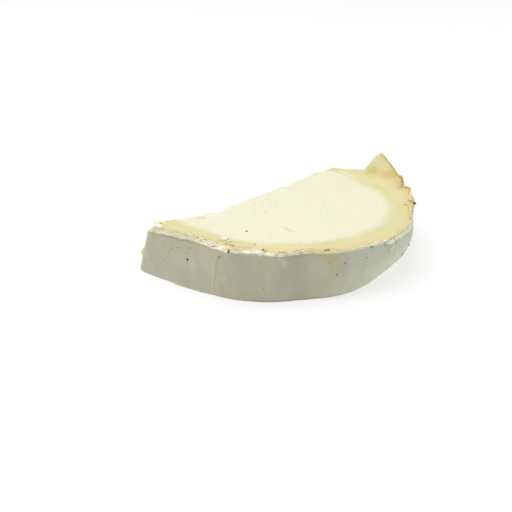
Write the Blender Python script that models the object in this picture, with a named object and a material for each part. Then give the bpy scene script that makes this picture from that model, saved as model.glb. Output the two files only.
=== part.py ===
"""A thick half slice cut across a round of soft goat's cheese with a bloomy rind.

The slice lies on one cut face. It is bounded by the round's own curved side, which carries the rind, and by a
straight break just past the round's centre. The origin is the centre of the round, on the face it rests on;
+Z is up and the rind bulges towards -Y. Blender 4.5; lengths here are in millimetres, the model's in metres.
"""

import math

import bmesh
import bpy
import numpy as np

MM = 0.001

# Driving dimensions
ROUND_RADIUS = 45.0  # the whole round is 90 mm across
THICKNESS = 15.0
BREAK_Y = 8.8  # the straight break runs this far past the round's centre
FOOT_RADIUS = 41.8  # the side tucks in towards the face it rests on
RIND_THICKNESS = 2.0

# Swells and hollows of the rind's outline, as (angle in degrees, half width in degrees, outwards)
RIM_SWELLS = (
    (164.0, 6.0, 1.2),
    (182.0, 20.0, -3.4),
    (213.0, 13.0, -1.9),
    (231.0, 14.0, -2.6),
    (267.0, 18.0, 1.0),
    (305.0, 20.0, -2.5),
    (372.0, 17.0, -4.6),
)
FOOT_SWELLS = (
    (155.0, 16.0, 3.4),
    (210.0, 22.0, 0.6),
    (278.0, 30.0, -1.6),
)
# Crumbs that the knife pulled out of the rim or left on it, as (angle, half width, outwards, upwards)
RIM_CRUMBS = (
    (203.0, 2.4, 0.5, 0.6),
    (267.0, 3.0, 0.6, -0.3),
    (310.0, 2.4, 0.5, 0.3),
    (316.0, 2.2, 0.3, 0.4),
    (321.5, 1.8, -0.7, -0.2),
    (327.3, 2.6, 0.8, 0.6),
    (330.9, 1.5, -0.9, -0.6),
    (334.4, 2.6, 0.3, 0.6),
)
CRUMB_REACH = 2.6  # how far in from the rim a crumb runs
CRUMB_FOOT = 0.72  # the share of the side's height where a crumb starts
CRUMB_RISE = 0.2
SIDE_BELLY = 2.3  # higher makes the side stand straighter above its tucked-in foot

# The corner of soft paste and rind that stands up at the right-hand end of the rim
HORN_ANGLE = 348.4
HORN_HEIGHT = 7.5
HORN_STEEP_WIDTH = 9.0  # degrees, towards the break
HORN_LONG_WIDTH = 21.0  # degrees, along the rim
HORN_ROOT_RADIUS = 35.0
HORN_CREST_RADIUS = 43.0

# How the slice has sagged and curled
CURL_HEIGHT = 1.4  # the left end's top is this much higher
CURL_ANGLE = 165.0
CURL_START, CURL_END = 24.0, 44.0  # distances from the round's centre, along CURL_ANGLE
RIGHT_LIFT = 4.2  # the underside clears the table by up to this much at its front right
RIGHT_LIFT_ANGLE = 300.0
RIGHT_LIFT_START, RIGHT_LIFT_END = 28.0, 45.0
RIGHT_LIFT_BEND = 1.3  # at 1 it would lift in a straight slope

# The break
TOP_SWEEP, TOP_SWEEP_START = 4.0, -8.0  # at its left end the top edge swings back by this much, from this x on
FOOT_SWEEP, FOOT_SWEEP_START = 11.0, -24.0  # the foot swings further, where a torn flap of rind sticks out
SWEEP_END = -40.0
BREAK_LEAN = 1.6  # its foot stands this much further out than its top edge
BREAK_CRAGS = ((7.5, 0.75, 11), (3.6, 0.38, 12))  # bumps, as (wavelength, height, seed)
BREAK_EDGE_CRAG = (6.0, 0.38, 8)
BREAK_EDGE_WIDTH = 2.5

# The rim and the rind's face
LIP_HEIGHT = 0.45
LIP_INSET = 1.0  # the lip's crest is this far in from the side
LIP_RAGS = ((9.0, 0.6, 3), (4.0, 0.6, 4))  # unevenness of the lip, with heights as shares of its own
LIP_GAP_ANGLE, LIP_GAP_WIDTH = 8.0, 20.0  # the corner where the lip is worn away
GROOVE_DEPTH = 0.45
GROOVE_WIDTH = 0.8
EDGE_WEAR = 0.3
EDGE_WEAR_WIDTH = 0.8
RIPPLE = (17.0, 0.28, 5)
CREASE_ANGLE = 192.3
CREASE_SLANT = 6.0  # degrees, from the crease's foot to its top
CREASE_WIDTH = 1.9
CREASE_HEIGHT = 0.5
RIND_FADE = 4.0  # over this distance rind gives way to break at a corner

# The mesh is rings round a point inside the slice, from the middle of the upper face to that of the lower one.
# Near the rim the rings of a face lie at insets from it, and further in at shares of the way to FACE_INSET.
POLE = (-8.0, -18.0)
COLUMNS = 208
FACE_INSET = 3.2
UPPER_SHARES = (0.0, 0.3, 0.55, 0.74, 0.87, 0.95)
UPPER_INSETS = (2.7, 2.1, 1.6, 1.0, 0.35)
SIDE_HEIGHTS = (0.955, 0.88, 0.77, 0.65, 0.53, 0.41, 0.29, 0.18, 0.08)
LOWER_INSETS = (0.5, 2.4)
LOWER_SHARES = (0.8, 0.5, 0.0)
RINGS = len(UPPER_SHARES) + len(UPPER_INSETS) + len(SIDE_HEIGHTS) + len(LOWER_INSETS) + len(LOWER_SHARES)
CORNER_SHARPNESS = 60.0  # higher makes the two ends of the break sharper
BREAK_STEPS = 40  # steps to find where a ray meets the break
GRAZING = 0.05  # a ray this level with the break never meets it
FAR = 1e4

PASTE_COLOUR = (0.90, 0.87, 0.70)
RIND_COLOUR = (0.80, 0.79, 0.73)


def ease(share):
    """0 to 1 with a soft start and end."""
    share = np.clip(share, 0.0, 1.0)
    return share * share * (3.0 - 2.0 * share)


def hump(angle, centre, half_width):
    """1 at the centre, falling smoothly to 0 at half_width on either side; angles in degrees, on a circle."""
    away = np.abs((angle - centre + 180.0) % 360.0 - 180.0)
    return ease(1.0 - away / half_width)


def swell(angle, swells):
    """The sum of some humps round the outline."""
    total = np.zeros_like(angle)
    for centre, half_width, outwards in swells:
        total += outwards * hump(angle, centre, half_width)
    return total


def bumps(x, y, z, wavelength, height, seed, count=14):
    """A bumpy field: sine waves of like length in seeded directions, added up."""
    draw = np.random.default_rng(seed)
    total = np.zeros_like(x)
    for _ in range(count):
        direction = draw.normal(size=3)
        direction /= np.linalg.norm(direction)
        pitch = 2.0 * math.pi / (wavelength * draw.uniform(0.75, 1.35))
        along = direction[0] * x + direction[1] * y + direction[2] * z
        total += np.sin(pitch * along + draw.uniform(0.0, 2.0 * math.pi))
    return height * total / math.sqrt(count)


def distance_towards(x, y, angle):
    """How far a point lies from the round's centre, measured in one direction."""
    return x * math.cos(math.radians(angle)) + y * math.sin(math.radians(angle))


def horn_share(angle):
    """How high the standing corner is at this angle, from 0 to 1: steep towards the break, long along the rim."""
    away = (angle - HORN_ANGLE + 180.0) % 360.0 - 180.0
    steep = ease(1.0 - away / HORN_STEEP_WIDTH)
    long = np.clip(1.0 + away / HORN_LONG_WIDTH, 0.0, 1.0) ** 1.15
    return np.where(away > 0.0, steep, long)


def side_radius(angle, height):
    """Distance of the rind's outside from the round's axis, at a share of the side's height from 0 to 1."""
    crumbs = tuple(crumb[:3] for crumb in RIM_CRUMBS)
    at_rim = ROUND_RADIUS + swell(angle, RIM_SWELLS)
    at_rim += swell(angle, crumbs) * ease((height - CRUMB_FOOT) / CRUMB_RISE)
    at_foot = FOOT_RADIUS + swell(angle, FOOT_SWELLS)
    belly = 1.0 - (1.0 - height) ** SIDE_BELLY
    return at_foot + (at_rim - at_foot) * belly


def break_line(x, height):
    """How far back the break lies at x: straight, then swinging back at the left end, more so at its foot."""
    low = 1.0 - height
    sweep = TOP_SWEEP + (FOOT_SWEEP - TOP_SWEEP) * low
    start = TOP_SWEEP_START + (FOOT_SWEEP_START - TOP_SWEEP_START) * low
    return BREAK_Y + BREAK_LEAN * (1.0 - height) + sweep * ease((x - start) / (SWEEP_END - start))


def distance_to_break(across, along, height):
    """Distance from POLE to the break in a direction, found by stepping to where the line is met."""
    facing = np.maximum(along, GRAZING)
    x = np.zeros_like(across)
    for _ in range(BREAK_STEPS):
        reach = (break_line(x, height) - POLE[1]) / facing
        x = np.clip(POLE[0] + reach * across, -1.1 * ROUND_RADIUS, 1.1 * ROUND_RADIUS)
    return np.where(along > GRAZING, reach, FAR)


def distance_to_round(across, along):
    """Distance from POLE to the round's circle in a direction."""
    inward = POLE[0] * across + POLE[1] * along
    return -inward + np.sqrt(inward**2 - POLE[0] ** 2 - POLE[1] ** 2 + ROUND_RADIUS**2)


def outline(turn, height):
    """Distance from POLE to the slice's side, whether that is rind (1) or break (0), and the angle on the round."""
    across, along = np.cos(turn), np.sin(turn)
    to_round = distance_to_round(across, along)
    angle = np.degrees(np.arctan2(POLE[1] + to_round * along, POLE[0] + to_round * across)) % 360.0
    to_rind = to_round + side_radius(angle, height) - ROUND_RADIUS
    to_break = distance_to_break(across, along, height)
    reach = (to_rind**-CORNER_SHARPNESS + to_break**-CORNER_SHARPNESS) ** (-1.0 / CORNER_SHARPNESS)
    rind = ease((to_break - to_rind) / RIND_FADE + 0.5)
    return reach, rind, angle


def top_height(x, y):
    """Height of the upper cut face: flat, curled up at the left end, with the horn at the right."""
    curl = CURL_HEIGHT * ease((distance_towards(x, y, CURL_ANGLE) - CURL_START) / (CURL_END - CURL_START))
    climb = ease((np.hypot(x, y) - HORN_ROOT_RADIUS) / (HORN_CREST_RADIUS - HORN_ROOT_RADIUS)) ** 1.4
    angle = np.degrees(np.arctan2(y, x)) % 360.0
    return THICKNESS + curl + HORN_HEIGHT * horn_share(angle) * climb


def under_height(x, y):
    """Height of the lower cut face: flat on the table, lifting at the front right."""
    towards_right = distance_towards(x, y, RIGHT_LIFT_ANGLE)
    share = np.clip((towards_right - RIGHT_LIFT_START) / (RIGHT_LIFT_END - RIGHT_LIFT_START), 0.0, 1.0)
    return RIGHT_LIFT * share**RIGHT_LIFT_BEND


def even_turns():
    """Turns round the pole that space the columns of the mesh evenly along the outline."""
    fine = np.linspace(0.0, 2.0 * math.pi, 4001)
    reach, _, _ = outline(fine, np.full_like(fine, 0.9))
    x = reach * np.cos(fine)
    y = reach * np.sin(fine)
    length = np.concatenate([[0.0], np.cumsum(np.hypot(np.diff(x), np.diff(y)))])
    return np.interp(np.arange(COLUMNS) / COLUMNS * length[-1], length, fine)


def place(turn, out):
    """The x and y of a point at a distance from POLE."""
    return POLE[0] + out * np.cos(turn), POLE[1] + out * np.sin(turn)


def upper_ring(turn, share):
    """A ring of the upper face, inside its rim."""
    reach, _, _ = outline(turn, np.ones_like(turn))
    x, y = place(turn, share * (reach - FACE_INSET))
    return x, y, top_height(x, y)


def rim_ring(turn, inset):
    """A ring of the upper face's rim, where the rind's ragged lip stands over a shallow groove in the paste."""
    reach, rind, angle = outline(turn, np.ones_like(turn))
    x, y = place(turn, reach - inset)
    z = top_height(x, y)
    wear = -EDGE_WEAR * ease(1.0 - inset / EDGE_WEAR_WIDTH)
    groove = -GROOVE_DEPTH * ease(1.0 - abs(inset - RIND_THICKNESS) / GROOVE_WIDTH)
    ragged = 0.5 + sum(bumps(x, y, z, *rag) for rag in LIP_RAGS)
    ragged *= 1.0 - hump(angle, LIP_GAP_ANGLE, LIP_GAP_WIDTH)
    lip = LIP_HEIGHT * ease(1.0 - abs(inset - LIP_INSET) / LIP_INSET) * ragged
    crumbs = swell(angle, tuple((crumb[0], crumb[1], crumb[3]) for crumb in RIM_CRUMBS))
    crumbs *= ease(1.0 - inset / CRUMB_REACH)
    crags = bumps(x, y, z, *BREAK_EDGE_CRAG) * ease(1.0 - inset / BREAK_EDGE_WIDTH)
    return x, y, z + wear + rind * (groove + lip + crumbs) + (1.0 - rind) * crags


def side_ring(turn, height):
    """A ring of the side: rind with soft ripples and one upright crease, or the crumbly break."""
    reach, rind, angle = outline(turn, np.full_like(turn, height))
    x, y = place(turn, reach)
    low = under_height(x, y)
    high = top_height(x, y) - EDGE_WEAR
    z = low + (high - low) * height
    crease = CREASE_HEIGHT * hump(angle, CREASE_ANGLE + CREASE_SLANT * height, CREASE_WIDTH)
    crags = sum(bumps(x, y, z, *crag) for crag in BREAK_CRAGS)
    push = rind * (bumps(x, y, z, *RIPPLE) + crease) + (1.0 - rind) * crags
    return x + push * np.cos(turn), y + push * np.sin(turn), z


def lower_ring(turn, share, inset):
    """A ring of the lower face, which rests on the table."""
    reach, _, _ = outline(turn, np.zeros_like(turn))
    x, y = place(turn, share * (reach - inset))
    return x, y, under_height(x, y)


def all_rings(turn):
    """Every ring of the mesh in order, each as the x, y and z of its columns."""
    rings = [upper_ring(turn, share) for share in UPPER_SHARES]
    rings += [rim_ring(turn, inset) for inset in UPPER_INSETS]
    rings += [side_ring(turn, height) for height in SIDE_HEIGHTS]
    rings += [lower_ring(turn, 1.0, inset) for inset in LOWER_INSETS]
    rings += [lower_ring(turn, share, FACE_INSET) for share in LOWER_SHARES]
    return rings


def reshape_sphere(shape):
    """Moves each vertex of a unit sphere to the slice: its rings become the faces, the rim and the side."""
    rings = all_rings(even_turns())
    for vertex in shape.verts:
        tilt = math.acos(max(-1.0, min(1.0, vertex.co.z)))
        ring = round(tilt / math.pi * (RINGS - 1))
        column = round(math.atan2(vertex.co.y, vertex.co.x) / (2.0 * math.pi) * COLUMNS) % COLUMNS
        x, y, z = rings[ring]
        vertex.co = (x[column] * MM, y[column] * MM, z[column] * MM)


def plain_material(name, colour, roughness):
    """A Principled material without texture."""
    material = bpy.data.materials.new(name)
    material.use_nodes = True
    shader = material.node_tree.nodes["Principled BSDF"]
    shader.inputs["Base Color"].default_value = (*colour, 1.0)
    shader.inputs["Roughness"].default_value = roughness
    shader.inputs["Metallic"].default_value = 0.0
    return material


def mark_rind(mesh):
    """Gives the second material to the faces of the curved side."""
    for polygon in mesh.polygons:
        x, y, _ = polygon.center / MM
        upright = abs(polygon.normal.z) < 0.6
        outside = math.hypot(x, y) > ROUND_RADIUS - 6.0
        if upright and outside and y < BREAK_Y:
            polygon.material_index = 1


def cheese_slice(collection):
    """The one solid, paste and rind together."""
    shape = bmesh.new()
    bmesh.ops.create_uvsphere(shape, u_segments=COLUMNS, v_segments=RINGS - 1, radius=1.0)
    reshape_sphere(shape)
    bmesh.ops.triangulate(shape, faces=shape.faces)
    mesh = bpy.data.meshes.new("cheese_slice")
    shape.to_mesh(mesh)
    shape.free()
    mesh.materials.append(plain_material("paste", PASTE_COLOUR, 0.55))
    mesh.materials.append(plain_material("rind", RIND_COLOUR, 0.8))
    mark_rind(mesh)
    mesh.shade_smooth()
    mesh.set_sharp_from_angle(angle=math.radians(50.0))
    collection.objects.link(bpy.data.objects.new("cheese_slice", mesh))


def main():
    for old in list(bpy.data.objects):
        bpy.data.objects.remove(old)
    collection = bpy.data.collections.new("cheese_half_slice")
    bpy.context.scene.collection.children.link(collection)
    cheese_slice(collection)


main()
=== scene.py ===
# %% [markdown]
# # A half slice of soft goat's cheese
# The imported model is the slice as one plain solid. This lesson dresses it: a chalky paste, straw yellow and
# waxy under the rind, a thin white rind with a ragged lip, and the crumbs and specks that a knife leaves.
# Every piece is worked out from the same few sizes as the solid, so it lies where the solid is.

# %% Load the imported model
import itertools
import math

import bmesh
import bpy
import numpy as np
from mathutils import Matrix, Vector


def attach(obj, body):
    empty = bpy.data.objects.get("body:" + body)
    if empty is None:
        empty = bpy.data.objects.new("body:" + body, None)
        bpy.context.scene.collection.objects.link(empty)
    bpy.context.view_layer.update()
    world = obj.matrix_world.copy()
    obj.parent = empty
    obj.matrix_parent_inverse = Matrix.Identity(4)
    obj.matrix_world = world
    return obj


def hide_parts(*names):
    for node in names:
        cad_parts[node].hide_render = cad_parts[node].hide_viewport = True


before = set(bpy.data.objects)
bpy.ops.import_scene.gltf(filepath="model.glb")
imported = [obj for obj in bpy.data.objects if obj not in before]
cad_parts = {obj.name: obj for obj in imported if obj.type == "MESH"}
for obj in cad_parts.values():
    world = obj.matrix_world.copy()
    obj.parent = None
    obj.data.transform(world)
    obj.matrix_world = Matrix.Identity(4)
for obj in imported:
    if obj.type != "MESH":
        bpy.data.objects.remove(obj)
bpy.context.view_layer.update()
print("nodes:", sorted(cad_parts))

# %% [markdown]
# ## Soft shapes and rough ones
# Cheese has no straight lines. Two kinds of formula give all of its forms: smooth humps, for where the slice
# swells, sags or curls, and noise, for where it crumbles. Both work on whole arrays of points at once.

# %% Humps and lines
MM = 0.001


def ease(share):
    """0 to 1 with a soft start and end: three times the square less twice the cube."""
    share = np.clip(share, 0.0, 1.0)
    return share * share * (3.0 - 2.0 * share)


def degrees_past(centre, angle):
    """How far round from the centre an angle lies, from -180 to 180."""
    return (angle - centre + 180.0) % 360.0 - 180.0


def hump(angle, centre, half_width):
    """1 at the centre, easing to 0 at half_width on either side; angles in degrees, on a circle."""
    return ease(1.0 - np.abs(degrees_past(centre, angle)) / half_width)


def bell(value, centre, width):
    """A bell curve: 1 at the centre and falling off alike on both sides."""
    return np.exp(-(((value - centre) / width) ** 2))


def swell(angle, swells):
    """The sum of some humps round the outline, each given as its centre, half width and height."""
    total = np.zeros_like(angle)
    for centre, half_width, height in swells:
        total += height * hump(angle, centre, half_width)
    return total


def near_line(x, y, start, end, width):
    """1 on the line from start to end, easing to 0 at width away from it."""
    along_x, along_y = end[0] - start[0], end[1] - start[1]
    share = ((x - start[0]) * along_x + (y - start[1]) * along_y) / (along_x**2 + along_y**2)
    share = np.clip(share, 0.0, 1.0)
    away = np.hypot(x - start[0] - share * along_x, y - start[1] - share * along_y)
    return ease(1.0 - away / width)


# %% Bumps and grain
LATTICE = 64


def bumps(x, y, z, wavelength, height, seed, count=14):
    """A smooth bumpy field: sine waves of like length in seeded directions, added up."""
    draw = np.random.default_rng(seed)
    total = np.zeros_like(x)
    for _ in range(count):
        direction = draw.normal(size=3)
        direction /= np.linalg.norm(direction)
        pitch = 2.0 * math.pi / (wavelength * draw.uniform(0.75, 1.35))
        along = direction[0] * x + direction[1] * y + direction[2] * z
        total += np.sin(pitch * along + draw.uniform(0.0, 2.0 * math.pi))
    return height * total / math.sqrt(count)


def grain(x, y, z, size, seed):
    """Noise from -1 to 1: random numbers on a cubic lattice, eased between the corners of a point's cell."""
    lattice = np.random.default_rng(seed).uniform(-1.0, 1.0, (LATTICE,) * 3)
    place = np.stack(np.broadcast_arrays(x, y, z)) / size
    cell = np.floor(place).astype(int)
    share = ease(place - cell)
    total = np.zeros(place.shape[1:])
    for corner in itertools.product((0, 1), repeat=3):
        weight = np.ones_like(total)
        for axis, step in enumerate(corner):
            weight = weight * (share[axis] if step else 1.0 - share[axis])
        i, j, k = ((cell[axis] + step) % LATTICE for axis, step in enumerate(corner))
        total += weight * lattice[i, j, k]
    return total


def crumble(x, y, z, size, seed, layers=3):
    """Rough noise: layers of grain, each half the size and a bit over half the height of the one before."""
    total = np.zeros(np.broadcast(x, y, z).shape)
    for layer in range(layers):
        total += 0.55**layer * grain(x, y, z, size / 2**layer, seed + layer)
    return total


print("a hump's height, centre to edge:", hump(np.array([0.0, 5.0, 10.0]), 0.0, 10.0).round(2))

# %% [markdown]
# ## The form of the slice
# The slice was cut across a round cheese and then snapped in half, so its outline is an arc of rind and a
# straight break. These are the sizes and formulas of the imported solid. An outline here is a distance from one
# point inside the slice, in every direction and at every height, and that makes the whole body one grid.

# %% Driving sizes, in millimetres
ROUND_RADIUS = 45.0
THICKNESS = 15.0
BREAK_Y = 8.8
FOOT_RADIUS = 41.8
SIDE_BELLY = 2.3
RIM_SWELLS = (
    (164.0, 6.0, 1.2),
    (182.0, 20.0, -3.4),
    (213.0, 13.0, -1.9),
    (231.0, 14.0, -2.6),
    (267.0, 18.0, 1.0),
    (305.0, 20.0, -2.5),
    (372.0, 17.0, -4.6),
)
FOOT_SWELLS = (
    (155.0, 16.0, 3.4),
    (210.0, 22.0, 0.6),
    (278.0, 30.0, -1.6),
)
# Crumbs that the knife pulled out of the rim or left on it, as (angle, half width, outwards, upwards)
RIM_CRUMBS = (
    (203.0, 2.4, 0.5, 0.6),
    (267.0, 3.0, 0.6, -0.3),
    (310.0, 2.4, 0.5, 0.3),
    (316.0, 2.2, 0.3, 0.4),
    (321.5, 1.8, -0.7, -0.2),
    (327.3, 2.6, 0.8, 0.6),
    (330.9, 1.5, -0.9, -0.6),
    (334.4, 2.6, 0.3, 0.6),
)
RIM_BULGES = tuple(crumb[:3] for crumb in RIM_CRUMBS)
RIM_RISES = tuple((angle, half_width, up) for angle, half_width, _, up in RIM_CRUMBS)
CRUMB_REACH = 2.6
CRUMB_FOOT = 0.72
CRUMB_RISE = 0.2
HORN_ANGLE = 348.4
HORN_HEIGHT = 7.5
HORN_STEEP_WIDTH = 9.0
HORN_LONG_WIDTH = 21.0
HORN_ROOT_RADIUS = 35.0
HORN_CREST_RADIUS = 43.0
HORN_BEND, HORN_LONG_BEND = 1.4, 1.15  # powers that hollow its slopes
FOLD_CLIMB, FOLD_WIDTH = 0.38, 0.13  # the fold across the horn's root, as shares of its height
FOLD_ANGLE, FOLD_REACH = 343.0, 20.0
FOLD_DEPTH = 0.2
CURL_HEIGHT = 1.4
CURL_ANGLE = 165.0
CURL_START, CURL_END = 24.0, 44.0
RIGHT_LIFT = 4.2
RIGHT_LIFT_ANGLE = 300.0
RIGHT_LIFT_START, RIGHT_LIFT_END = 28.0, 45.0
RIGHT_LIFT_BEND = 1.3
TOP_SWEEP, TOP_SWEEP_START = 4.0, -8.0
FOOT_SWEEP, FOOT_SWEEP_START = 11.0, -24.0
SWEEP_END = -40.0
BREAK_LEAN = 1.6
EDGE_WEAR = 0.3
RIND_FADE = 4.0
POLE = (-8.0, -18.0)
CORNER_SHARPNESS = 60.0
BREAK_STEPS = 40
GRAZING = 0.05
FAR = 1e4


# %% The outline
def distance_towards(x, y, angle):
    """How far a point lies from the round's centre, measured in one direction."""
    return x * math.cos(math.radians(angle)) + y * math.sin(math.radians(angle))


def angle_of(x, y):
    """The angle on the round, from 0 to 360 degrees."""
    return np.degrees(np.arctan2(y, x)) % 360.0


def arc_length(angle):
    """Millimetres along the round for an angle in degrees."""
    return np.radians(angle) * ROUND_RADIUS


def side_radius(angle, height):
    """The rind's distance from the round's axis: from the foot to the rim along a belly's curve."""
    at_rim = ROUND_RADIUS + swell(angle, RIM_SWELLS)
    at_rim += swell(angle, RIM_BULGES) * ease((height - CRUMB_FOOT) / CRUMB_RISE)
    at_foot = FOOT_RADIUS + swell(angle, FOOT_SWELLS)
    belly = 1.0 - (1.0 - height) ** SIDE_BELLY
    return at_foot + (at_rim - at_foot) * belly


def break_line(x, height):
    """How far back the break lies at x: straight, then swinging back at the left end, more so at its foot."""
    low = 1.0 - height
    sweep = TOP_SWEEP + (FOOT_SWEEP - TOP_SWEEP) * low
    start = TOP_SWEEP_START + (FOOT_SWEEP_START - TOP_SWEEP_START) * low
    return BREAK_Y + BREAK_LEAN * low + sweep * ease((x - start) / (SWEEP_END - start))


def distance_to_break(across, along, height):
    """Distance from POLE to the break in a direction, found by stepping to where the line is met."""
    facing = np.maximum(along, GRAZING)
    x = np.zeros_like(across)
    for _ in range(BREAK_STEPS):
        reach = (break_line(x, height) - POLE[1]) / facing
        x = np.clip(POLE[0] + reach * across, -1.1 * ROUND_RADIUS, 1.1 * ROUND_RADIUS)
    return np.where(along > GRAZING, reach, FAR)


def distance_to_round(across, along):
    """Distance from POLE to the round's circle in a direction: the larger root of the circle's equation."""
    inward = POLE[0] * across + POLE[1] * along
    return -inward + np.sqrt(inward**2 - POLE[0] ** 2 - POLE[1] ** 2 + ROUND_RADIUS**2)


def two_sides(turn, height):
    """Distances from POLE to the rind and to the break, and the angle on the round."""
    across, along = np.cos(turn), np.sin(turn)
    to_round = distance_to_round(across, along)
    angle = angle_of(POLE[0] + to_round * across, POLE[1] + to_round * along)
    to_rind = to_round + side_radius(angle, height) - ROUND_RADIUS
    return to_rind, distance_to_break(across, along, height), angle


def outline(turn, height):
    """Distance from POLE to the side, whether that is rind (1) or break (0), and the angle on the round."""
    to_rind, to_break, angle = two_sides(turn, height)
    reach = (to_rind**-CORNER_SHARPNESS + to_break**-CORNER_SHARPNESS) ** (-1.0 / CORNER_SHARPNESS)
    return reach, ease((to_break - to_rind) / RIND_FADE + 0.5), angle


def pushed(x, y, turn, out):
    """The x and y of a point once it is moved outwards along a turn."""
    return x + out * np.cos(turn), y + out * np.sin(turn)


def place(turn, out):
    """The x and y of a point at a distance from POLE."""
    return pushed(*POLE, turn, out)


# %% The upper and lower faces
def horn_share(angle):
    """The standing corner's height at an angle, 0 to 1: steep towards the break, long along the rim."""
    away = degrees_past(HORN_ANGLE, angle)
    steep = ease(1.0 - away / HORN_STEEP_WIDTH)
    long = np.clip(1.0 + away / HORN_LONG_WIDTH, 0.0, 1.0) ** HORN_LONG_BEND
    return np.where(away > 0.0, steep, long)


def horn_climb(x, y):
    """How far up the standing corner a point is, from 0 at its root to 1 at its crest."""
    share = (np.hypot(x, y) - HORN_ROOT_RADIUS) / (HORN_CREST_RADIUS - HORN_ROOT_RADIUS)
    return ease(share) ** HORN_BEND


def horn_rise(x, y):
    """Height on the horn as a share of its full height."""
    return horn_climb(x, y) * horn_share(angle_of(x, y))


def top_height(x, y):
    """Height of the upper cut face: flat, curled up at the left end, with the horn at the right."""
    curl = CURL_HEIGHT * ease((distance_towards(x, y, CURL_ANGLE) - CURL_START) / (CURL_END - CURL_START))
    return THICKNESS + curl + HORN_HEIGHT * horn_rise(x, y)


def horn_fold(x, y):
    """1 along the fold across the horn's root, falling off on both sides as a bell curve of the rise."""
    return bell(horn_rise(x, y), FOLD_CLIMB, FOLD_WIDTH) * hump(angle_of(x, y), FOLD_ANGLE, FOLD_REACH)


def under_height(x, y):
    """Height of the lower cut face: flat on the table, lifting at the front right."""
    towards_right = distance_towards(x, y, RIGHT_LIFT_ANGLE)
    share = np.clip((towards_right - RIGHT_LIFT_START) / (RIGHT_LIFT_END - RIGHT_LIFT_START), 0.0, 1.0)
    return RIGHT_LIFT * share**RIGHT_LIFT_BEND


print("heights at the centre, the left end and the horn:",
      top_height(np.array([0.0, -40.0, 43.0]), np.array([0.0, 4.0, -9.0])).round(1))

# %% [markdown]
# ## Putting arrays into meshes
# A grid of points becomes a mesh with quads between neighbouring rows and columns. A body closes at two
# poles; a skin is a section carried along a path, closed round the section and capped at both ends. Numbers
# that a material needs, such as how ripe the cheese is at a point, go along as attributes of the mesh.


# %% Grids to meshes
def grid_quads(rows, columns, wrap):
    """Quads between each row of points and the next; with wrap the last column joins the first."""
    row = np.arange(rows - 1)[:, None] * columns
    column = np.arange(columns if wrap else columns - 1)[None, :]
    after = (column + 1) % columns
    quads = np.stack([row + column, row + columns + column, row + columns + after, row + after], axis=-1)
    return quads.reshape(-1, 4)


def fan(pole, start, columns, upwards):
    """Triangles from a pole to each pair of neighbours in the ring of points that begins at start."""
    here = start + np.arange(columns)
    after = start + (np.arange(columns) + 1) % columns
    pair = (here, after) if upwards else (after, here)
    return np.stack([np.full(columns, pole), *pair], axis=-1)


def pole_fans(last, columns):
    """Triangles from the two poles, numbered last and last + 1, to the first ring and the last one."""
    upper = fan(last, 0, columns, upwards=True)
    lower = fan(last + 1, last - columns, columns, upwards=False)
    return np.vstack([upper, lower])


def signed_volume(mesh):
    """Cubic centimetres inside a mesh; negative if its faces point inwards."""
    shape = bmesh.new()
    shape.from_mesh(mesh)
    volume = shape.calc_volume(signed=True) * 1e6
    shape.free()
    return volume


def add_object(name, data):
    """A mesh, light or camera, put into the scene as an object."""
    item = bpy.data.objects.new(name, data)
    bpy.context.scene.collection.objects.link(item)
    return item


def make_piece(name, points, faces, attributes, material):
    """A piece of the slice: points in millimetres, faces as lists of point numbers, values for each point."""
    mesh = bpy.data.meshes.new(name)
    mesh.from_pydata((points * MM).tolist(), [], faces)
    for label, values in attributes.items():
        layer = mesh.attributes.new(label, "FLOAT", "POINT")
        layer.data.foreach_set("value", np.ascontiguousarray(values, dtype=np.float32).ravel())
    mesh.materials.append(material)
    mesh.shade_smooth()
    piece = add_object(name, mesh)
    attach(piece, "root")
    triangles = sum(len(face) - 2 for face in faces)
    print(f"{name}: {len(points)} points, {triangles} triangles, {signed_volume(mesh):.3f} cubic centimetres")
    return piece


# %% [markdown]
# ## Nodes for the materials
# The finishes are built from a few kinds of node, so each kind gets a short helper. Patterns read Object
# coordinates, which are metres in the slice's own frame, or an attribute of the mesh.


# %% Small helpers for nodes
def blank_material(name, surface):
    """A material with one Principled shader, its inputs set by name; its node tree and the shader."""
    material = bpy.data.materials.new(name)
    material.use_nodes = True
    shader = material.node_tree.nodes["Principled BSDF"]
    for label, value in surface.items():
        shader.inputs[label].default_value = value
    return material, material.node_tree, shader


def feed(tree, socket, value):
    """Links a socket, or sets it to a plain number or colour."""
    if isinstance(value, bpy.types.NodeSocket):
        tree.links.new(value, socket)
    elif isinstance(value, tuple):
        socket.default_value = (*value, 1.0)
    else:
        socket.default_value = value


def attribute(tree, name):
    """One of the mesh's own values."""
    node = tree.nodes.new("ShaderNodeAttribute")
    node.attribute_name = name
    return node.outputs["Fac"]


def mottle(tree, size, detail=4.0, stretch=(1.0, 1.0, 1.0)):
    """Noise whose blotches are about size millimetres wide, from 0 to 1 with most of it near a half."""
    place = tree.nodes.new("ShaderNodeTexCoord")
    mapping = tree.nodes.new("ShaderNodeMapping")
    mapping.inputs["Scale"].default_value = stretch
    tree.links.new(place.outputs["Object"], mapping.inputs["Vector"])
    noise = tree.nodes.new("ShaderNodeTexNoise")
    noise.inputs["Scale"].default_value = 1.0 / (size * MM)
    noise.inputs["Detail"].default_value = detail
    tree.links.new(mapping.outputs["Vector"], noise.inputs["Vector"])
    return noise.outputs["Fac"]


def between(tree, value, low, high, start=0.0, end=1.0):
    """A value from low to high becomes start to end, and stays there outside that range."""
    node = tree.nodes.new("ShaderNodeMapRange")
    for name, number in (("From Min", low), ("From Max", high), ("To Min", start), ("To Max", end)):
        node.inputs[name].default_value = number
    feed(tree, node.inputs["Value"], value)
    return node.outputs["Result"]


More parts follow.
